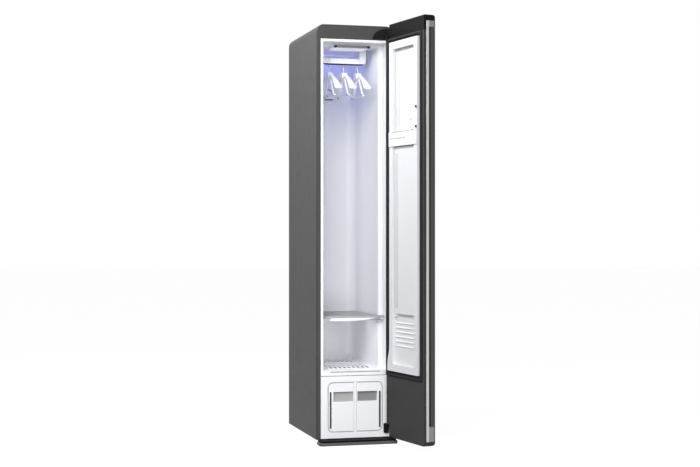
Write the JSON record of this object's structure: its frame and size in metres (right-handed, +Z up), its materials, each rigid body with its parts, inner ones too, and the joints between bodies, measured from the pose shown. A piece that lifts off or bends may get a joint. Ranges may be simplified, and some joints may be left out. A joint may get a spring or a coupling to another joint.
{
  "type": "clothes care steam cabinet",
  "caption": "Tall narrow steam closet with its door open: white chamber, hangers on a moving bar, shelf, floor grilles, water tanks and a trouser press on the door.",
  "frame": {"origin": "centre of the body's footprint on the floor, at the underside of the floor plate", "axes": "+Z up, the front and its door opening face -Y, +X is the hinge side"},
  "size_m": [0.427, 0.9405, 1.85],
  "materials": {
    "case_grey": "satin",
    "frame_grey": "satin",
    "door_grey": "satin",
    "liner_white": "satin",
    "part_white": "satin",
    "shelf_grey": "satin",
    "black_plastic": "satin",
    "black_metal": "satin",
    "tinted_glass": "polished",
    "silver_trim": "satin",
    "steel": "satin",
    "dark_rubber": "matte",
    "lamp_white": "gloss",
    "lamp_blue": "gloss",
    "coil_aluminium": "satin",
    "board_green": "matte"
  },
  "bodies": {
    "cabinet": {"floor_plate": "frame_grey", "base_pan": "steel", "outer_case": "case_grey", "front_frame": "frame_grey", "back_panel": "steel", "power_inlet": "black_plastic", "liner_collar": "liner_white", "liner_left": "liner_white", "liner_right": "liner_white", "liner_back": "liner_white", "liner_ceiling": "liner_white", "liner_floor": "liner_white", "hinge_top": "black_metal", "hinge_bottom": "black_metal", "lamp_bezel": "door_grey", "lamp_lens": "lamp_white", "blue_lamp": "lamp_blue", "fragrance_case": "liner_white", "shelf_ledge_left": "shelf_grey", "shelf_ledge_right": "shelf_grey", "rear_grille": "part_white", "shaker_frame": "steel", "shaker_motor": "steel", "lower_panel": "liner_white", "tank_bay": "part_white", "evaporator": "coil_aluminium", "condenser": "coil_aluminium", "compressor": "black_metal", "fan_housing": "part_white", "fan_motor": "steel", "steam_generator": "coil_aluminium", "steam_pipe": "part_white", "water_pump": "black_plastic", "control_board": "board_green"},
    "door": {"door_frame": "door_grey", "door_glass": "tinted_glass", "handle_trim": "silver_trim", "handle_rail": "frame_grey", "door_gasket": "dark_rubber", "door_liner": "liner_white", "trouser_holder": "liner_white"},
    "flap": {"press_flap": "liner_white"},
    "latch": {"press_latch": "liner_white"},
    "knob": {"holder_knob": "part_white"},
    "left_tank": {"supply_tank": "liner_white"},
    "right_tank": {"drain_tank": "liner_white"},
    "shelf_tray": {"shelf": "shelf_grey", "shelf_apron": "liner_white"},
    "filter": {"lint_filter": "part_white"},
    "bar": {"hanger_bar": "door_grey", "hanger_bar_cover": "liner_white"},
    "crank": {"shaker_crank": "steel"},
    "wheel": {"fan_wheel": "door_grey"},
    "scent_cap": {"fragrance_cap": "part_white"},
    "hanger_1": {"hanger_hook_1": "steel", "hanger_body_1": "liner_white"},
    "hanger_2": {"hanger_hook_2": "steel", "hanger_body_2": "liner_white"},
    "hanger_3": {"hanger_hook_3": "steel", "hanger_body_3": "liner_white"}
  },
  "joints": [
    {"name": "door_hinge", "type": "hinge", "parent": "cabinet", "child": "door", "pos_m": [0.1645, -0.314, 0], "axis": [0, 0, 1], "range_deg": [-100, 20]},
    {"name": "press_flap_hinge", "type": "hinge", "parent": "door", "child": "flap", "pos_m": [0.15116, -0.39962, 0.577], "axis": [0, 0, -1], "range_deg": [0, 60]},
    {"name": "press_latch_hinge", "type": "hinge", "parent": "door", "child": "latch", "pos_m": [0.13348, -0.37532, 1.309], "axis": [0, 0, -1], "range_deg": [0, 35]},
    {"name": "holder_knob_turn", "type": "hinge", "parent": "door", "child": "knob", "pos_m": [0.16974, -0.55678, 1.432], "axis": [-0.9848, -0.1736, 0], "range_deg": [0, 90]},
    {"name": "supply_tank_slide", "type": "slide", "parent": "cabinet", "child": "left_tank", "axis": [0, -1, 0], "range_m": [0, 0.17]},
    {"name": "drain_tank_slide", "type": "slide", "parent": "cabinet", "child": "right_tank", "axis": [0, -1, 0], "range_m": [0, 0.17]},
    {"name": "shelf_slide", "type": "slide", "parent": "cabinet", "child": "shelf_tray", "axis": [0, -1, 0], "range_m": [0, 0.28]},
    {"name": "lint_filter_lift", "type": "slide", "parent": "cabinet", "child": "filter", "axis": [0, 0, 1], "range_m": [0, 0.05]},
    {"name": "hanger_bar_slide", "type": "slide", "parent": "cabinet", "child": "bar", "axis": [1, 0, 0], "range_m": [-0.015, 0.015]},
    {"name": "shaker_crank_spin", "type": "hinge", "parent": "cabinet", "child": "crank", "pos_m": [0, -0.0735, 1.79], "axis": [0, 0, 1], "continuous": true},
    {"name": "fan_wheel_spin", "type": "hinge", "parent": "cabinet", "child": "wheel", "pos_m": [0, 0.124, 0.215], "axis": [1, 0, 0], "continuous": true},
    {"name": "fragrance_cap_turn", "type": "hinge", "parent": "cabinet", "child": "scent_cap", "pos_m": [0, 0.205, 1.595], "axis": [0, 1, 0], "range_deg": [0, 40]},
    {"name": "hanger_1_swing", "type": "hinge", "parent": "bar", "child": "hanger_1", "pos_m": [-0.067, -0.0735, 1.725], "axis": [-1, 0, 0], "range_deg": [-5, 5]},
    {"name": "hanger_2_swing", "type": "hinge", "parent": "bar", "child": "hanger_2", "pos_m": [0, -0.0735, 1.725], "axis": [-1, 0, 0], "range_deg": [-5, 5]},
    {"name": "hanger_3_swing", "type": "hinge", "parent": "bar", "child": "hanger_3", "pos_m": [0.067, -0.0735, 1.725], "axis": [-1, 0, 0], "range_deg": [-5, 5]}
  ]
}
